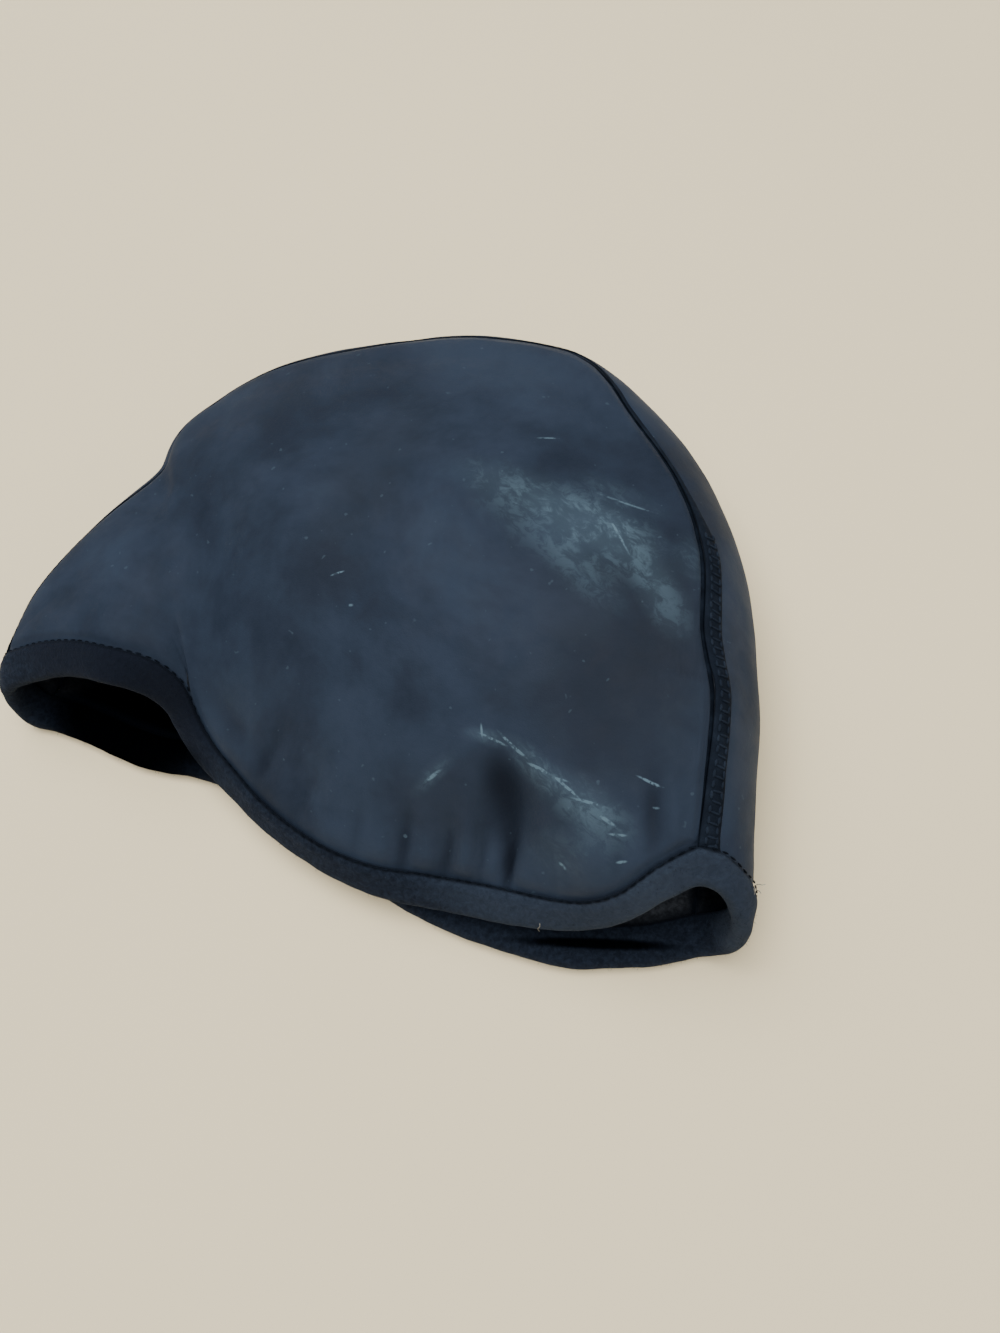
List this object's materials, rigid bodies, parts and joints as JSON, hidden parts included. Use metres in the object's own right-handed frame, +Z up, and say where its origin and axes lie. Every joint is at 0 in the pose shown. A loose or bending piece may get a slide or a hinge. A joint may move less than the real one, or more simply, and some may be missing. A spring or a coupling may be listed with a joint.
{
  "type": "skull cap",
  "caption": "Soft close-fitting skull cap with a flap over the ears and nape, two side panels and a centre panel, lying flat on its side.",
  "frame": {"origin": "on the floor under the middle of the lying cap's footprint", "axes": "+Z up; +X from the nape fold to the forehead fold; +Y from the rim to the crown, as the cap lies on its left side"},
  "size_m": [0.2498, 0.1916, 0.0655],
  "materials": {
    "panel_cloth": "satin",
    "binding_cloth": "matte"
  },
  "bodies": {
    "root": {"side_panel_right": "panel_cloth", "side_panel_left": "panel_cloth", "centre_panel": "panel_cloth", "rim_binding": "binding_cloth"}
  },
  "joints": []
}
